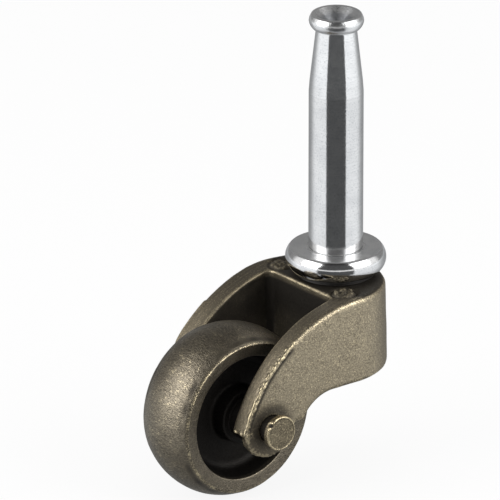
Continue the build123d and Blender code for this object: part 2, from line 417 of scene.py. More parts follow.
@dataclass(frozen=True)
class PlatedSteel:
    """Bright plate on turned steel, with a lathe's faint rings and a rougher crater in its head."""

    name: str
    plate: Colour = (0.82, 0.82, 0.815, 1)
    dull: Colour = (0.46, 0.47, 0.49, 1)
    roughness: float = 0.10
    face_roughness: float = 0.24
    head_roughness: float = 0.10
    ring_depth: float = 0.0034
    head_pitting: float = 13.0
    mottle_stain: float = 0.22
    ring_stain: float = 0.14
    speck_stain: float = 0.4
    crater_darkening: float = 0.95
    head_foot: float = 33.3
    crater_mouth: float = 2.6

    def build(self, groups: Groups) -> Material:
        """Makes the material.

        Args:
            groups: the shared shader groups.

        Returns:
            The finished material.
        """
        material, bench, shader = new_material(self.name)
        place = bench.millimetres()
        turning = bench.group(groups.turning, Vector=place)
        grain = bench.group(groups.grain, Vector=place)
        height = bench.add("ShaderNodeSeparateXYZ", {0: place}).outputs[2]
        radius = bench.vector_math("LENGTH", bench.vector_math("MULTIPLY", place, (1, 1, 0)))
        head = bench.span(height, self.head_foot, self.head_foot + 1.2)
        face = bench.times(bench.span(height, -0.06, -0.02), bench.span(height, 0.1, 0.02))
        crater = bench.times(head, bench.span(radius, self.crater_mouth, self.crater_mouth - 0.8))
        dulling = bench.plus(
            bench.times(bench.less(1.0, grain["Mottle"]), self.mottle_stain),
            bench.times(turning["Rings"], self.ring_stain),
            bench.times(grain["Specks"], self.speck_stain),
        )
        # The crater is coloured darker and duller.
        dulling = bench.math("ADD", dulling, bench.times(crater, self.crater_darkening), clamp=True)
        bench.feed(shader.inputs["Base Color"], bench.mix(dulling, self.plate, self.dull))
        rough = bench.plus(
            self.roughness,
            bench.times(grain["Grain"], 0.05),
            bench.times(face, self.face_roughness),
            bench.times(head, self.head_roughness),
        )
        bench.feed(shader.inputs["Roughness"], rough)
        shader.inputs["Metallic"].default_value = 1.0
        relief = bench.plus(turning["Height"], bench.times(grain["Height"], head, self.head_pitting))
        bench.feed(shader.inputs["Normal"], bench.bump(relief, self.ring_depth))
        return material


@dataclass(frozen=True)
class DarkSteel:
    """Dark oiled steel of the washers."""

    name: str
    colour: Colour = (0.05, 0.048, 0.046, 1)
    worn: Colour = (0.16, 0.155, 0.15, 1)
    roughness: float = 0.38
    ring_depth: float = 0.004

    def build(self, groups: Groups) -> Material:
        """Makes the material.

        Args:
            groups: the shared shader groups.

        Returns:
            The finished material.
        """
        material, bench, shader = new_material(self.name)
        turning = bench.group(groups.turning, Vector=bench.millimetres())
        rings = bench.times(turning["Rings"], 0.5)
        bench.feed(shader.inputs["Base Color"], bench.mix(rings, self.colour, self.worn))
        bench.feed(shader.inputs["Roughness"], bench.plus(self.roughness, bench.times(rings, 0.2)))
        shader.inputs["Metallic"].default_value = 0.9
        bench.feed(shader.inputs["Normal"], bench.bump(turning["Height"], self.ring_depth))
        return material


def select_only(piece: Piece) -> None:
    """Deselects everything, then selects one object and makes it active."""
    bpy.ops.object.select_all(action="DESELECT")
    piece.select_set(True)
    bpy.context.view_layer.objects.active = piece


def copy_node(frame: dict, node: str, name: str) -> Piece:
    """Copies a CAD node into a merged mesh of its own.

    Args:
        node: the CAD node's name.
        name: the copy's name.

    Returns:
        The copy, at the origin.
    """
    select_only(frame["nodes"][node])
    bpy.ops.object.duplicate()
    piece = bpy.context.view_layer.objects.active
    piece.name = piece.data.name = name
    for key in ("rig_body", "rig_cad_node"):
        del piece[key]
    piece.parent = None
    piece.hide_render = False
    piece.data.materials.clear()
    bpy.ops.mesh.customdata_custom_splitnormals_clear()
    bpy.ops.object.mode_set(mode="EDIT")
    bpy.ops.mesh.select_all(action="SELECT")
    bpy.ops.mesh.remove_doubles(threshold=1e-6)
    bpy.ops.object.mode_set(mode="OBJECT")
    return piece


def apply_modifier(piece: Piece, kind: str, **settings) -> None:
    """Adds a modifier with its settings and applies it.

    Args:
        piece: the object.
        kind: the modifier's type.
        settings: the modifier's properties.
    """
    select_only(piece)
    modifier = piece.modifiers.new(kind.title(), kind)
    for name, value in settings.items():
        setattr(modifier, name, value)
    bpy.ops.object.modifier_apply(modifier=modifier.name)


def group_vertices(piece: Piece, weights: np.ndarray) -> str:
    """Makes a vertex group.

    Args:
        piece: the object.
        weights: how far each vertex belongs to it, from 0 to 1.

    Returns:
        The group's name.
    """
    patch = piece.vertex_groups.new(name="patch")
    steps = np.rint(np.clip(weights, 0, 1) * WEIGHT_STEPS).astype(int)
    for step in range(1, WEIGHT_STEPS + 1):
        patch.add(np.flatnonzero(steps == step).tolist(), step / WEIGHT_STEPS, "REPLACE")
    return patch.name


def push(piece: Piece, weights: np.ndarray, direction: str, distance: float) -> None:
    """Pushes part of a surface along an axis or along its normals.

    Args:
        piece: the object.
        weights: how far each vertex moves, from 0 to 1.
        direction: X, Y, Z or NORMAL.
        distance: the way of a vertex that moves in full.
    """
    group = group_vertices(piece, weights)
    settings = {"direction": direction, "strength": distance * MM, "mid_level": 0}
    apply_modifier(piece, "DISPLACE", vertex_group=group, **settings)
    piece.vertex_groups.clear()


def roughen(piece: Piece, wave: float, depth: float, where: np.ndarray | None = None) -> None:
    """Moves a surface in and out by a soft cloud pattern.

    Args:
        piece: the object.
        wave: the pattern's size.
        depth: the whole travel from its lowest to its highest point.
        where: how far each vertex takes part, from 0 to 1; all do where it isn't given.
    """
    cloud = bpy.data.textures.new(f"{piece.name}_cloud", "CLOUDS")
    cloud.noise_scale = wave * MM
    cloud.noise_depth = 2
    settings = {"texture": cloud, "texture_coords": "LOCAL", "strength": depth * MM, "mid_level": 0.5}
    if where is not None:
        settings["vertex_group"] = group_vertices(piece, where)
    apply_modifier(piece, "DISPLACE", **settings)
    piece.vertex_groups.clear()


def smooth_normals(piece: Piece, degrees: float = 180) -> None:
    """Shades a piece smooth across edges up to an angle."""
    select_only(piece)
    bpy.ops.object.shade_smooth_by_angle(angle=math.radians(degrees), keep_sharp_edges=False)


def vertex_places(piece: Piece) -> np.ndarray:
    """Gives the places of a piece's vertices in millimetres, one row each."""
    places = np.empty(len(piece.data.vertices) * 3)
    piece.data.vertices.foreach_get("co", places)
    return places.reshape(-1, 3) / MM


def write_mask(piece: Piece, name: str, values: np.ndarray) -> None:
    """Stores a number for each vertex as an attribute, held between 0 and 1."""
    mask = piece.data.attributes.new(name, "FLOAT", "POINT")
    mask.data.foreach_set("value", np.clip(values, 0, 1).astype(np.float32))


def ramp(values: np.ndarray, low: float, high: float) -> np.ndarray:
    """Maps values smoothly from low, which gives 0, to high, which gives 1."""
    share = np.clip((values - low) / (high - low), 0, 1)
    return share * share * (3 - 2 * share)


def fade(values: np.ndarray, near: float, far: float) -> np.ndarray:
    """Maps values smoothly from near, which gives 1, to far, which gives 0."""
    return 1 - ramp(values, near, far)


def off_axle(x: np.ndarray, z: np.ndarray) -> np.ndarray:
    """Gives each place's distance from the axle's middle line."""
    return np.hypot(x + TRAIL, z + AXLE_DROP)


def off_brow_centre(x: np.ndarray, z: np.ndarray) -> np.ndarray:
    """Gives each place's distance from the middle of the brow's curve."""
    return np.hypot(x - BROW_CENTRE[0], z - BROW_CENTRE[1])


def mark_edges(piece: Piece, reach: float, height: float, extra: np.ndarray | float = 0.0) -> None:
    """Measures how far each vertex stands out from the surface round it, and stores Edge and Hollow.

    Args:
        piece: the object.
        reach: how far round a vertex the surface is averaged.
        height: how far a vertex stands out to count in full.
        extra: edges that are marked whatever their form.
    """
    mesh = piece.data
    places = vertex_places(piece)
    normals = np.empty(len(places) * 3)
    mesh.vertices.foreach_get("normal", normals)
    normals = normals.reshape(-1, 3)
    ends = np.empty(len(mesh.edges) * 2, dtype=np.int64)
    mesh.edges.foreach_get("vertices", ends)
    start, stop = ends.reshape(-1, 2).T
    length = np.linalg.norm(places[start] - places[stop], axis=1)
    count = np.bincount(start, minlength=len(places)) + np.bincount(stop, minlength=len(places))
    step = np.median(length)
    averaged = places.copy()
    for _ in range(max(2, round((reach / step) ** 2))):
        total = np.zeros_like(averaged)
        for axis in range(3):
            total[:, axis] = np.bincount(start, averaged[stop, axis], len(places))
            total[:, axis] += np.bincount(stop, averaged[start, axis], len(places))
        averaged += 0.5 * (total / np.maximum(count, 1)[:, None] - averaged)
    stands = np.einsum("ij,ij->i", places - averaged, normals) / height
    write_mask(piece, EDGE, np.maximum((stands - 0.18) / 0.82, extra))
    write_mask(piece, HOLLOW, -stands)


def rounded(corners: list[tuple[float, float, float]], steps: int = 7) -> Profile:
    """Rounds the corners of a profile.

    Args:
        corners: the radius, the place along the axis and the rounding of each corner.
        steps: points on each rounding.

    Returns:
        The profile's points.
    """
    line = []
    for index, (radius, along, rounding) in enumerate(corners):
        corner = Vector((radius, along))
        if rounding == 0 or index in (0, len(corners) - 1):
            line.append((radius, along))
            continue
        before = (Vector(corners[index - 1][:2]) - corner).normalized()
        after = (Vector(corners[index + 1][:2]) - corner).normalized()
        half = before.angle(after) / 2
        centre = corner + (before + after).normalized() * (rounding / math.sin(half))
        first = corner + before * (rounding / math.tan(half)) - centre
        last = corner + after * (rounding / math.tan(half)) - centre
        for step in range(steps):
            spoke = first.lerp(last, step / (steps - 1)).normalized() * rounding
            line.append(tuple(centre + spoke))
    return line


def subdivide_line(line: Profile, longest: float) -> Profile:
    """Adds points to a profile where two neighbours are far apart.

    Args:
        line: the profile's points.
        longest: the longest step that is left.

    Returns:
        The denser profile.
    """
    dense = [line[0]]
    for point in line[1:]:
        gap = math.dist(dense[-1], point)
        parts = max(1, math.ceil(gap / longest))
        start = dense[-1]
        for part in range(1, parts + 1):
            share = part / parts
            dense.append((start[0] + (point[0] - start[0]) * share, start[1] + (point[1] - start[1]) * share))
    return dense


def lathe(name: str, profile: Profile, segments: int) -> Piece:
    """Turns a profile round the Z axis, ring by ring.

    Args:
        name: the piece's name.
        profile: radius and height of each ring; equal ends close the shape, and a radius of 0 closes a pole.
        segments: points round each ring.

    Returns:
        The turned piece, about Z at the origin.
    """
    bpy.ops.object.select_all(action="DESELECT")
    smallest = 1e-3
    radius, height = max(profile[0][0], smallest), profile[0][1]
    bpy.ops.mesh.primitive_circle_add(vertices=segments, radius=radius * MM, location=(0, 0, height * MM))
    piece = bpy.context.view_layer.objects.active
    piece.name = piece.data.name = name
    bpy.ops.object.transform_apply(location=True, rotation=True, scale=True)
    bpy.ops.object.mode_set(mode="EDIT")
    bpy.ops.mesh.select_all(action="SELECT")
    for next_radius, next_height in profile[1:]:
        next_radius = max(next_radius, smallest)
        bpy.ops.mesh.extrude_region_move(
            TRANSFORM_OT_translate={"value": (0, 0, (next_height - height) * MM)}
        )
        grow = next_radius / radius
        bpy.ops.transform.resize(value=(grow, grow, 1), center_override=(0, 0, next_height * MM))
        radius, height = next_radius, next_height
    bpy.ops.mesh.select_all(action="SELECT")
    bpy.ops.mesh.remove_doubles(threshold=3e-6)
    bpy.ops.mesh.normals_make_consistent(inside=False)
    bpy.ops.object.mode_set(mode="OBJECT")
    return piece


def place_on_axle(piece: Piece) -> None:
    """Turns a piece made round Z onto the axle, so that its +Z becomes +Y, and applies its place."""
    piece.matrix_world = Matrix.Translation((-TRAIL * MM, 0, -AXLE_DROP * MM)) @ Matrix.Rotation(
        math.radians(-90), 4, "X"
    )
    select_only(piece)
    bpy.ops.object.transform_apply(location=True, rotation=True, scale=True)


def dress(piece: Piece, body: Body, slot: Slot, finish: Material, *nodes: str) -> None:
    """Gives a piece its finish, its body and the CAD nodes that it stands for.

    Args:
        piece: the object.
        body: the body that it moves with.
        slot: the record's material slot; not used.
        finish: its material.
        nodes: the CAD nodes that it replaces.
    """
    piece.data.materials.clear()
    piece.data.materials.append(finish)
    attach(piece, body.value)
    if nodes:
        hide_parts(*nodes)


@dataclass(frozen=True)
class ForkPatinaAndShade:
    """How dark each place of the fork is made, from 0 to 1: patina mixed with painted shade where shade falls, and the
    cleared values lighten it again.
    """

    cheek: float = 0.55
    deck: float = 0.95
    gate: float = 0.9
    stub_cleared: float = 0.15
    behind_head: float = 0.8
    round_end: float = 0.72
    rim_cleared: float = 0.55
    nose: float = 0.32
    brow: float = 0.38
    upper_brow: float = 0.22
    streak: float = 0.07
    crease: float = 0.95
    ledge_cleared: float = 0.95


@dataclass
class ForkCasting:
    """The cast fork: its CAD form with softened edges, a ragged lip, broken gates and a wavy skin.

    Each relief is the size of a cloud pattern's waves and its whole depth.
    """

    finish: AntiqueBrass
    patina_and_shade_tone: ForkPatinaAndShade = ForkPatinaAndShade()
    voxel: float = 0.18
    softening: int = 3
    skin_reliefs: tuple[Relief, ...] = ((5.0, 0.09), (1.4, 0.03))
    gate_relief: Relief = (0.6, 1.1)
    lip_relief: Relief = (0.45, 0.30)
    rim_relief: Relief = (0.45, 0.42)
    ledge_relief: Relief = (0.4, 0.34)
    lip_start: float = 36.0
    lip_end: float = 73.0
    lip_inset: float = 0.28
    lip_offset: float = 9.95
    gate_setback: float = 4.4
    gate_spacing: float = 14.2
    gate_lift: float = 0.18
    far_arm_spread: float = 0.6
    nose_slant: tuple[float, float] = (0.7716, 0.6361)
    wear_reach: float = 0.65
    wear_height: float = 0.09

    def build(self, frame: dict, groups: Groups) -> Piece:
        """Models and dresses the fork.

        Args:
            groups: the shared shader groups.

        Returns:
            The fork.
        """
        fork = copy_node(frame, "fork", "cast_fork")
        apply_modifier(fork, "REMESH", mode="VOXEL", voxel_size=self.voxel * MM)
        apply_modifier(fork, "SMOOTH", factor=0.5, iterations=self.softening)
        for relief in self.skin_reliefs:
            roughen(fork, *relief)
        self.spread_far_arm(fork)
        self.break_gates(fork)
        self.tear_lip(fork)
        x, _, z = vertex_places(fork).T
        mark_edges(fork, self.wear_reach, self.wear_height, self.ledge_line(x, z))
        self.mark_patina_and_shade(fork)
        smooth_normals(fork)
        dress(fork, Body.FORK, Slot.FORK, self.finish.build(groups), "fork")
        return fork

    def spread_far_arm(self, fork: Piece) -> None:
        """Lets the far arm stand a little wider, as in the photograph, but not where the axle is peened."""
        x, y, z = vertex_places(fork).T
        arm = ramp(y, 7.4, 9.6) * ramp(off_axle(x, z), 4.6, 8) * ramp(-x, 2, 8)
        push(fork, arm, "Y", self.far_arm_spread)

    def off_gate(self, x: np.ndarray, y: np.ndarray) -> np.ndarray:
        """Gives each place's distance from the middle of the nearer gate."""
        return np.hypot(x + self.gate_setback, np.abs(y) - self.gate_spacing / 2)

    def break_gates(self, fork: Piece) -> None:
        """Raises and roughens the stubs of the broken gates on the deck."""
        x, y, z = vertex_places(fork).T
        stub = fade(self.off_gate(x, y), 1.2, 1.75) * ramp(z, -DECK_DROP - 0.3, -DECK_DROP - 0.1)
        push(fork, stub, "Z", self.gate_lift)
        roughen(fork, *self.gate_relief, stub)

    def tear_lip(self, fork: Piece) -> None:
        """Makes the near arm's lip ragged, and pits the rims of the round ends and the fronts of the ledges."""
        x, y, z = vertex_places(fork).T
        off_lip = np.hypot(off_brow_centre(x, z) - BROW_RADIUS + self.lip_inset, np.abs(y) - self.lip_offset)
        roughen(fork, *self.lip_relief, fade(off_lip, 0.35, 0.7) * self.lip_span(x, z) * (y < 0))
        near_axle = off_axle(x, z)
        rim = ramp(near_axle, 3.5, 3.9) * (near_axle < 4.7) * ramp(-z, LEDGE_DROP, LEDGE_DROP + 0.3)
        roughen(fork, *self.rim_relief, rim)
        roughen(fork, *self.ledge_relief, self.ledge_line(x, z))

    def ledge_line(self, x: np.ndarray, z: np.ndarray) -> np.ndarray:
        """Gives 1 along the front of the ledge, where the casting's crumbs are rubbed bright."""
        front = ramp(off_brow_centre(x, z), BROW_RADIUS - 1.6, BROW_RADIUS - 1.0)
        return fade(np.abs(z + LEDGE_DROP - 0.12), 0.24, 0.46) * front

    def lip_span(self, x: np.ndarray, z: np.ndarray) -> np.ndarray:
        """Gives 1 along the part of the brow that has a lip, from its angle about the brow's centre."""
        turn = np.degrees(np.arctan2(BROW_CENTRE[0] - x, z - BROW_CENTRE[1]))
        return ramp(turn, self.lip_start - 3, self.lip_start + 1) * fade(turn, self.lip_end, self.lip_end + 2)

    def mark_patina_and_shade(self, fork: Piece) -> None:
        """Marks where the fork is darkened and kept from rubbing: patina with painted shade in the wheel well, on the
        arms' inner faces and on the round ends; painted shade on the deck under the collar, round the axle head, on
        the body's rounded back, on the brow and in the crease by the lip; and the dark rough gates.
        """
        x, y, z = vertex_places(fork).T
        patina_and_shade_tone = self.patina_and_shade_tone
        # Patina with painted shade inside the wheel well and on the arms' inner faces.
        inside = fade(np.abs(y), WELL_HALF_WIDTH - 0.05, WELL_HALF_WIDTH + 0.25)
        well = inside * ramp(-x, WELL_BACK - 1.2, WELL_BACK - 0.4) * ramp(-z, DECK_DROP + 0.3, DECK_DROP + 1.4)
        cheek = patina_and_shade_tone.cheek * ramp(-x, WELL_BACK, WELL_BACK + 1) * fade(np.abs(y), 8.0, 8.6)
        # Painted shade on the deck under the collar; the gates' rough marks are dark and their stubs lighter.
        deck = patina_and_shade_tone.deck * ramp(z, -DECK_DROP - 0.3, -DECK_DROP - 0.12) * fade(np.hypot(x, y), 10.2, 11.2)
        off_gate = self.off_gate(x, y)
        gates = patina_and_shade_tone.gate * fade(off_gate, 2.0, 2.5) * ramp(z, -DECK_DROP - 0.8, -DECK_DROP - 0.6)
        deck = np.maximum(deck, gates) * (1 - patina_and_shade_tone.stub_cleared * fade(off_gate, 1.4, 1.7))
        near_axle = off_axle(x, z)
        # Painted shadow round the axle head on the near arm.
        behind_head = patina_and_shade_tone.behind_head * fade(near_axle, 2.9, 4.7) * (y < 0)
        # Patina with painted shade on the round ends below the ledges, their rims lighter.
        round_end = patina_and_shade_tone.round_end * ramp(-z, LEDGE_DROP - 0.05, LEDGE_DROP + 0.2) * (near_axle < 5)
        round_end *= 1 - patina_and_shade_tone.rim_cleared * ramp(near_axle, 3.9, 4.3)
        # Painted shade darkening the body's rounded back.
        nose = patina_and_shade_tone.nose * ramp(self.nose_slant[0] * x + self.nose_slant[1] * np.abs(y), 5.6, 7.3)
        # Painted shade on the arms' curved brows, darker towards the top, broken by streaks of texture.
        spoke = off_brow_centre(x, z)
        turn = np.arctan2(BROW_CENTRE[0] - x, z - BROW_CENTRE[1])
        streaks = np.sin(7.3 * y + 3.1 * np.sin(5 * turn)) + np.sin(15.7 * y + 2.7 * np.sin(11 * turn + 1))
        brow = patina_and_shade_tone.brow + patina_and_shade_tone.upper_brow * fade(turn, 0.3, 0.75) + patina_and_shade_tone.streak * streaks
        brow *= ramp(spoke, BROW_RADIUS - 0.25, BROW_RADIUS - 0.1) * (x < -4)
        # Painted shadow in the crease beside the lip.
        crease = patina_and_shade_tone.crease * ramp(spoke, BROW_RADIUS - 1.35, BROW_RADIUS - 0.75)
        crease *= fade(spoke, BROW_RADIUS - 0.62, BROW_RADIUS - 0.5) * (np.abs(y) > 9) * self.lip_span(x, z)
        patina_and_shade_weight = np.max([well, cheek, deck, behind_head, round_end, nose, brow, crease], axis=0)
        write_mask(fork, PATINA_AND_SHADE, patina_and_shade_weight * (1 - patina_and_shade_tone.ledge_cleared * self.ledge_line(x, z)))


@dataclass
class CastWheel:
    """The cast wheel: a crowned tread, a raised ridge and a deep recess on each side, web and hub."""

    finish: AntiqueBrass
    tread_radius: float = 12.8
    ridge_radius: float = 11.25
    ridge_half_width: float = 5.05
    recess_mouth: float = 9.35
    recess_edge: float = 4.85
    recess_floor: float = 8.5
    web_half_width: float = 1.7
    hub_radius: float = 4.1
    hub_half_width: float = 4.45
    nose_radius: float = 3.1
    nose_half_width: float = 6.9
    bore_radius: float = 1.98
    skin_reliefs: tuple[Relief, ...] = ((4.0, 0.07), (1.3, 0.03))
    wear_reach: float = 0.5
    wear_height: float = 0.04
    ridge_wear: float = 0.5
    gutter_patina: float = 0.85
    segments: int = 256

    def half_section(self) -> Profile:
        """Gives the section of one side, from the bore out to the tread's middle."""
        corners = [
            (self.bore_radius, 0.0, 0),
            (self.bore_radius, self.nose_half_width, 0.15),
            (self.nose_radius, self.nose_half_width, 0.3),
            (self.nose_radius, self.hub_half_width, 0.12),
            (self.hub_radius, self.hub_half_width, 0.3),
            (self.hub_radius, self.web_half_width, 0.5),
            (self.recess_floor, self.web_half_width, 1.2),
            (self.recess_mouth, self.recess_edge, 0.22),
            (self.ridge_radius - 0.02, self.ridge_half_width, 0.3),
            (self.ridge_radius + 0.30, self.ridge_half_width - 0.42, 0.2),
            (self.ridge_radius + 0.47, self.ridge_half_width - 0.75, 0),
        ]
        line = rounded(corners)
        rise = self.tread_radius - self.ridge_radius
        crown = (self.ridge_half_width**2 + rise**2) / (2 * rise)
        first = self.ridge_half_width - 0.9
        for step in range(25):
            along = first * (1 - step / 24)
            line.append((self.tread_radius - crown + math.sqrt(crown**2 - along**2), along))
        return subdivide_line(line, 0.35)

    def build(self, groups: Groups) -> Piece:
        """Models and dresses the wheel.

        Args:
            groups: the shared shader groups.

        Returns:
            The wheel.
        """
        half = self.half_section()
        other = [(radius, -along) for radius, along in reversed(half[:-1])]
        wheel = lathe("cast_wheel", half + other, self.segments)
        place_on_axle(wheel)
        for relief in self.skin_reliefs:
            roughen(wheel, *relief)
        x, y, z = vertex_places(wheel).T
        ridge = fade(np.abs(off_axle(x, z) - self.ridge_radius - 0.02), 0.1, 0.26) * (np.abs(y) > 4)
        mark_edges(wheel, self.wear_reach, self.wear_height, self.ridge_wear * ridge)
        self.mark_patina_and_shade(wheel)
        smooth_normals(wheel)
        dress(wheel, Body.WHEEL, Slot.WHEEL, self.finish.build(groups), "wheel")
        return wheel

    def mark_patina_and_shade(self, wheel: Piece) -> None:
        """Marks the recesses, dark with patina and painted shade, and the patchy patina in the gutters outside the
        ridges, which little rubbing reaches.
        """
        x, y, z = vertex_places(wheel).T
        radius = off_axle(x, z)
        # Patina with painted shade in the deep recesses.
        recess = fade(radius, self.recess_mouth - 0.2, self.recess_mouth + 0.1)
        turn = np.arctan2(z + AXLE_DROP, x + TRAIL)
        patchy = 0.5 + 0.3 * np.sin(5 * turn + 1) + 0.2 * np.sin(23 * turn)
        gutter = ramp(radius, 11.45, 11.65) * fade(radius, 11.75, 12.1) * (np.abs(y) > 3)
        write_mask(wheel, PATINA_AND_SHADE, np.maximum(recess, self.gutter_patina * patchy * gutter))


@dataclass
class AxleRivet:
    """The axle: a flat head with a thin worn rim and a nick, a shank, and a peened end."""

    finish: AntiqueBrass
    face_radius: float = 2.2
    edge_radius: float = 2.42
    head_radius: float = 2.575
    head_height: float = 0.95
    shank_radius: float = 1.9
    peen_radius: float = 2.7
    peen_height: float = 1.2
    nick_place: tuple[float, float] = (-1.85, 1.65)
    nick_shade_middle: tuple[float, float] = (-1.8, 1.6)
    nick_depth: float = 0.28
    skin_relief: Relief = (1.2, 0.025)
    wear_reach: float = 0.22
    wear_height: float = 0.035
    rim_wear: float = 0.85
    segments: int = 128

    def build(self, groups: Groups) -> Piece:
        """Models and dresses the axle.

        Args:
            groups: the shared shader groups.

        Returns:
            The axle.
        """
        low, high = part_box("axle")
        head, tail = low[1] / MM, high[1] / MM
        corners = [
            (0, head + 0.08, 0),
            (self.face_radius, head + 0.08, 0.4),
            (self.edge_radius, head, 0.08),
            (self.head_radius, head + 0.12, 0.1),
            (self.head_radius, head + self.head_height, 0.08),
            (self.shank_radius, head + self.head_height, 0.05),
            (self.shank_radius, tail - self.peen_height, 0.05),
            (self.peen_radius, tail - self.peen_height, 0.1),
            (self.peen_radius, tail - 0.6, 0.3),
            (self.shank_radius, tail - 0.12, 0.5),
            (1.2, tail, 0.3),
            (0, tail, 0),
        ]
        axle = lathe("axle_rivet", subdivide_line(rounded(corners), 0.18), self.segments)
        place_on_axle(axle)
        off_nick = self.off_nick(axle, self.nick_place, head + 0.15, 0.7)
        push(axle, fade(off_nick, 0.1, 0.5), "NORMAL", -self.nick_depth)
        roughen(axle, *self.skin_relief)
        x, y, z = vertex_places(axle).T
        rim = ramp(off_axle(x, z), 2.28, 2.38) * fade(y, head + 0.12, head + 0.3)
        mark_edges(axle, self.wear_reach, self.wear_height, self.rim_wear * rim)
        # Painted shade on the shank in the gap under the head, and in the nick.
        shank = ramp(y, head + 0.7, head + 1.0) * fade(y, tail - 1.4, tail - 1.1)
        nick = self.off_nick(axle, self.nick_shade_middle, head + 0.2, 0.8)
        write_mask(axle, PATINA_AND_SHADE, np.maximum(shank, fade(nick, 0.22, 0.4)))
        smooth_normals(axle)
        dress(axle, Body.FORK, Slot.AXLE, self.finish.build(groups), "axle")
        return axle

    def off_nick(self, axle: Piece, place: tuple, along: float, flattening: float) -> np.ndarray:
        """Measures how far each vertex is from the nick in the head.

        Args:
            axle: the axle's mesh.
            place: the nick's middle, from the axle's middle line along X and Z.
            along: its place along Y.
            flattening: how much less the way along Y counts.

        Returns:
            The distances.
        """
        x, y, z = vertex_places(axle).T
        aside = np.hypot(x + TRAIL - place[0], z + AXLE_DROP - place[1])
        return np.hypot(aside, (y - along) * flattening)


@dataclass
class TurnedStem:
    """The stem in one turning: head with its crater, neck, shank, collar and the peened pivot below."""

    finish: PlatedSteel
    shank: float = 3.97
    neck: float = 2.97
    straight: float = 24.9
    head_radius: float = 3.95
    head_top: float = 35.98
    head_foot: float = 33.72
    crater_mouth: float = 3.15
    crater_floor: float = 34.1
    collar_face: float = 6.7
    collar_radius: float = 7.34
    collar_height: float = 3.1
    pivot: float = 3.2
    tail: float = 3.9
    tail_top: float = -11.8
    tail_end: float = -13.3
    crater_relief: Relief = (0.9, 0.10)
    segments: int = 192

    def section(self) -> Profile:
        """Gives the section from the crater's middle down to the peened end."""
        upper = [
            (0, self.crater_floor, 0),
            (0.9, self.crater_floor, 0.35),
            (self.crater_mouth, self.head_top, 0.22),
            (self.head_radius - 0.35, self.head_top, 0.35),
            (self.head_radius + 0.04, self.head_top - 0.75, 1.5),
            (self.head_radius + 0.02, self.head_foot + 0.7, 1.5),
            (self.head_radius - 0.6, self.head_foot, 0.5),
            (self.neck + 0.02, self.head_foot, 0),
            (self.neck, self.head_foot - 0.15, 0.1),
            (self.shank - 0.12, self.straight + 0.8, 0.6),
            (self.shank, self.straight - 0.8, 0.6),
            (self.shank, -0.12, 0.03),
            (self.shank + 0.3, -0.12, 0.03),
            (self.shank + 0.3, 0, 0.06),
            (self.collar_face, 0, 0),
        ]
        line = rounded(upper)
        middle = -self.collar_height / 2
        bulge = self.collar_radius - self.collar_face
        curve = (middle**2 + bulge**2) / (2 * bulge)
        half = math.asin(-middle / curve)
        for step in range(1, 21):
            angle = half * (1 - step / 10)
            line.append((self.collar_radius - curve + curve * math.cos(angle), middle + curve * math.sin(angle)))
        lower = [
            (self.collar_face, -self.collar_height, 0),
            (self.pivot, -self.collar_height, 0.15),
            (self.pivot, self.tail_top, 0.05),
            (self.tail, self.tail_top, 0.1),
            (self.tail, self.tail_end, 0.45),
            (0, self.tail_end, 0),
        ]
        return subdivide_line(line + rounded(lower)[1:], 0.5)

    def build(self, groups: Groups) -> Piece:
        """Models and dresses the stem.

        Args:
            groups: the shared shader groups.

        Returns:
            The stem.
        """
        stem = lathe("turned_stem", self.section(), self.segments)
        x, y, z = vertex_places(stem).T
        crater = ramp(z, self.crater_floor - 0.1, self.crater_floor + 0.2) * fade(np.hypot(x, y), 2.6, 3.3)
        roughen(stem, *self.crater_relief, crater)
        smooth_normals(stem, 50)
        dress(stem, Body.STEM, Slot.STEM, self.finish.build(groups), "stem")
        return stem


@dataclass
class Washers:
    """The two washers, which keep their CAD forms."""

    finish: DarkSteel
    nodes: tuple[str, ...] = ("thrust_washer", "tail_washer")

    def dress(self, frame: dict, groups: Groups) -> None:
        """Dresses the washers.

        Args:
            groups: the shared shader groups.
        """
        steel = self.finish.build(groups)
        for node in self.nodes:
            frame["nodes"][node].data.materials.clear()
            frame["nodes"][node].data.materials.append(steel)
            log.info("dressed %s with %s", node, steel.name)


@dataclass(frozen=True)
class Lamp:
    """A soft square lamp: the way to it from the castor, its side in metres and its power in watts."""

    name: str
    direction: Vector
    side: float
    power: float
    mirrored: bool = True


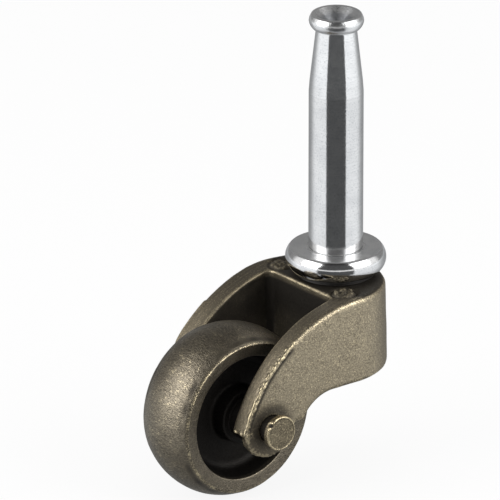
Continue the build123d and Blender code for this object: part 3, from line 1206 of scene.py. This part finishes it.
@dataclass
class Studio:
    """Floor, lamps and camera, and what the metal mirrors.

    The levels are how bright the studio looks in the metal: the sides are light, the rear is dim, and one dark
    gap stands in front. The gap widens from the castor by gap_slope, and on the floor it begins gap_near away.
    """

    lens_distance: float = 1.5
    pixels_per_mm: float = 6.902
    frame_pixels: float = 500.0
    sensor: float = 36.0
    aim_right: float = -12.414
    aim_up: float = -0.629
    floor_side: float = 12.0
    floor_share: float = 0.88
    world_level: float = 0.6
    side_level: float = 1.0
    rear_level: float = 0.27
    rear_floor_level: float = 0.36
    far_floor_level: float = 1.22
    gap_slope: float = 0.87
    gap_near: float = 45.0
    gap_level: float = 0.08
    gap_floor_level: float = 0.092
    top_level: float = 0.28
    shade_level: float = 0.3
    shade_centre: tuple[float, float, float] = (-9.0, 0.0, -FLOOR_DROP)
    lamp_distance: float = 0.6
    lamps: tuple[Lamp, ...] = (
        Lamp("left_lamp", -CAMERA_RIGHT + CAMERA_BACK * 0.55 + UP * 0.35, 0.45, 1.9),
        Lamp("right_lamp", CAMERA_RIGHT + CAMERA_BACK * 0.5 + UP * 0.4, 0.45, 1.7),
        Lamp("top_lamp", UP + CAMERA_BACK * 0.2, 0.35, 0.3, mirrored=False),
    )

    def build(self) -> None:
        """Sets up the whole studio."""
        self.place_camera()
        self.light_world()
        self.lay_floor()
        self.hang_lamps()

    def place_camera(self) -> None:
        """Places the camera at the photograph's viewing angle."""
        lens = bpy.data.cameras.new("camera")
        camera = bpy.data.objects.new("camera", lens)
        bpy.context.scene.collection.objects.link(camera)
        width = self.frame_pixels / self.pixels_per_mm * MM
        lens.sensor_width = self.sensor
        lens.lens = self.sensor * self.lens_distance / width
        lens.clip_start, lens.clip_end = 0.1, 20.0
        aim = CAMERA_RIGHT * (self.aim_right * MM) + CAMERA_UP * (self.aim_up * MM)
        camera.location = aim + CAMERA_BACK * self.lens_distance
        camera.rotation_mode = "QUATERNION"
        camera.rotation_quaternion = CAMERA_BACK.to_track_quat("Z", "Y")
        bpy.context.scene.camera = camera

    def facing(self, bench: Bench, place: Socket) -> tuple:
        """Measures a place or direction along and across the camera's heading.

        Args:
            bench: the tree's bench.
            place: the vector to measure.

        Returns:
            The distance towards the camera's side, and the distance off that line.
        """
        front = Vector((CAMERA_BACK.x, CAMERA_BACK.y, 0)).normalized()
        towards = bench.vector_math("DOT_PRODUCT", place, tuple(front))
        across = bench.vector_math("DOT_PRODUCT", place, tuple(CAMERA_RIGHT))
        return towards, bench.math("ABSOLUTE", across)

    def light_world(self) -> None:
        """Makes the world: white to the camera, plain where it lights, and light and dark where metal mirrors it."""
        world = bpy.data.worlds.new("studio")
        world.use_nodes = True
        world.node_tree.nodes.clear()
        bench = Bench(world.node_tree)
        path = bench.add("ShaderNodeLightPath").outputs
        place = bench.add("ShaderNodeTexCoord").outputs["Generated"]
        towards, across = self.facing(bench, place)
        height = bench.add("ShaderNodeSeparateXYZ", {0: place}).outputs[2]
        below_top = bench.span(height, 0.975, 0.995, 1, 0)
        gap = bench.span(bench.less(bench.times(towards, self.gap_slope), across), -0.03, 0.03)
        gap = bench.times(gap, bench.span(height, 0.10, 0.14), below_top)
        rear = bench.times(bench.span(towards, -0.15, -0.55), below_top)
        level = bench.times(
            bench.span(rear, 0, 1, self.side_level, self.rear_level),
            bench.span(gap, 0, 1, 1, self.gap_level),
            bench.span(height, 0.55, 0.95, 1, self.top_level),
        )
        mirrored = {0: path["Is Glossy Ray"], 2: self.world_level, 3: level}
        level = bench.math("MAXIMUM", bench.add("ShaderNodeMix", mirrored).outputs[0], path["Is Camera Ray"])
        light = bench.add("ShaderNodeBackground", {"Color": (1, 1, 1, 1), "Strength": level})
        bench.add("ShaderNodeOutputWorld", {"Surface": light.outputs[0]})
        bpy.context.scene.world = world
        bpy.context.scene.view_settings.view_transform = "Standard"

    def lay_floor(self) -> None:
        """Lays the white floor, which keeps the shadow and can't be seen from below."""
        bpy.ops.object.select_all(action="DESELECT")
        bpy.ops.mesh.primitive_plane_add(size=self.floor_side, location=(0, 0, -FLOOR_DROP * MM))
        floor = bpy.context.view_layer.objects.active
        floor.name = "floor"
        bpy.ops.object.transform_apply(location=True)
        floor.data.materials.append(self.paper())

    def paper(self) -> Material:
        """Makes the floor's material: half-glowing white paper, and where metal mirrors it a glowing floor with
        painted light, dark and dim zones and a painted shadow round the castor.
        """
        material = bpy.data.materials.new("floor_white")
        material.use_nodes = True
        material.node_tree.nodes.clear()
        bench = Bench(material.node_tree)
        path = bench.add("ShaderNodeLightPath").outputs
        place = bench.millimetres()
        towards, across = self.facing(bench, place)
        gap = bench.span(bench.less(bench.times(towards, self.gap_slope), across), -2, 2)
        gap = bench.times(gap, bench.span(towards, self.gap_near, self.gap_near + 3))
        away = bench.vector_math("LENGTH", place)
        rear = bench.span(bench.math("DIVIDE", towards, away), 0.12, -0.92)
        # Painted shadow round the castor in the floor's mirrored glow.
        apart = bench.vector_math("DISTANCE", place, self.shade_centre)
        level = bench.times(
            bench.span(apart, 12, 76, self.shade_level, 1.0),
            bench.span(away, 150, 320, 1, self.far_floor_level),
            bench.span(rear, 0, 1, 1, self.rear_floor_level),
            bench.span(gap, 0, 1, 1, self.gap_floor_level),
        )
        mirrored = bench.add("ShaderNodeEmission", {"Color": (0.96, 0.98, 1, 1), "Strength": level})
        white = bench.add("ShaderNodeBsdfDiffuse", {"Color": (0.9, 0.9, 0.9, 1)})
        glow = bench.add("ShaderNodeEmission", {"Color": (1, 1, 1, 1), "Strength": 1.0})
        seen = bench.math("ADD", path["Is Camera Ray"], path["Is Transmission Ray"], clamp=True)
        clear = bench.add("ShaderNodeBsdfTransparent").outputs[0]
        below = bench.add("ShaderNodeNewGeometry").outputs["Backfacing"]
        surface = white.outputs[0]
        for share, other in (
            (bench.times(seen, self.floor_share), glow.outputs[0]),
            (path["Is Glossy Ray"], mirrored.outputs[0]),
            (below, clear),
        ):
            surface = bench.add("ShaderNodeMixShader", {0: share, 1: surface, 2: other}).outputs[0]
        bench.add("ShaderNodeOutputMaterial", {"Surface": surface})
        return material

    def hang_lamps(self) -> None:
        """Hangs a large soft lamp on each side of the camera and one above."""
        for lamp in self.lamps:
            light = bpy.data.lights.new(lamp.name, "AREA")
            light.size = lamp.side
            light.energy = lamp.power
            holder = bpy.data.objects.new(lamp.name, light)
            bpy.context.scene.collection.objects.link(holder)
            holder.location = lamp.direction.normalized() * self.lamp_distance
            holder.visible_glossy = lamp.mirrored
            holder.rotation_mode = "QUATERNION"
            holder.rotation_quaternion = lamp.direction.to_track_quat("Z", "Y")


@dataclass
class Castor:
    """The whole castor, piece by piece."""

    groups: Groups
    stem: TurnedStem = field(default_factory=lambda: TurnedStem(PlatedSteel("stem_plate")))
    washers: Washers = field(default_factory=lambda: Washers(DarkSteel("washer_steel")))
    fork: ForkCasting = field(default_factory=lambda: ForkCasting(AntiqueBrass("fork_brass")))
    axle: AxleRivet = field(default_factory=lambda: AxleRivet(AXLE_BRASS))
    wheel: CastWheel = field(default_factory=lambda: CastWheel(WHEEL_BRASS))

    def build(self, frame: dict) -> None:
        """Builds each sub-assembly in order.
        """
        self.washers.dress(frame, self.groups)
        for piece in (
            self.stem.build(self.groups),
            self.fork.build(frame, self.groups),
            self.axle.build(self.groups),
            self.wheel.build(self.groups),
        ):
            log.info("made %s with %d faces", piece.name, len(piece.data.polygons))


def main() -> None:
    """Loads the frame and builds the castor and its studio."""
    logging.basicConfig(level=logging.INFO, format="%(message)s")
    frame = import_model()
    Castor(Groups.build()).build(frame)
    Studio().build()


if __name__ == "__main__":
    main()
